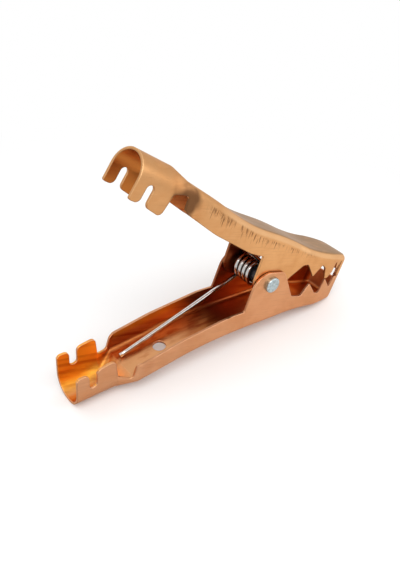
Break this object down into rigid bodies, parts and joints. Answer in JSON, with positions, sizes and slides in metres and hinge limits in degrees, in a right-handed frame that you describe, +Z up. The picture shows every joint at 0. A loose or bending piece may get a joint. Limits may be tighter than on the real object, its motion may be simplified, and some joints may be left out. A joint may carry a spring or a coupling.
{
  "type": "battery booster clamp",
  "caption": "Sprung clamp of two pressed copper-coloured halves on a rivet, with toothed jaws and a cable crimp on each handle.",
  "frame": {"origin": "centre of the box, on the surface that the clamp lies on", "axes": "+X along the lower handle towards the nose, +Y along the rivet to the far side, +Z up"},
  "size_m": [0.1548, 0.0266, 0.1013],
  "materials": {
    "copper_upper": "copper-plated pressed steel sheet, satin",
    "copper_lower": "copper-plated pressed steel sheet, satin",
    "spring_steel": "bright drawn spring wire",
    "zinc": "bright zinc-plated steel",
    "dark_sleeve": "blackened steel tube"
  },
  "bodies": {
    "lower": {"lower_half": "copper_lower", "lower_jaw": "copper_lower", "pivot_rivet": "zinc", "spacer_sleeve": "dark_sleeve", "torsion_spring": "spring_steel"},
    "upper": {"upper_half": "copper_upper"}
  },
  "joints": [
    {"name": "jaw_pivot", "type": "hinge", "parent": "lower", "child": "upper", "pos_m": [0.01834, 0, 0.02941], "axis": [0, -1, 0], "range_deg": [0, 35], "stiffness_Nm_per_rad": 2, "springref_deg": -34.38, "deforming": ["torsion_spring"]}
  ]
}
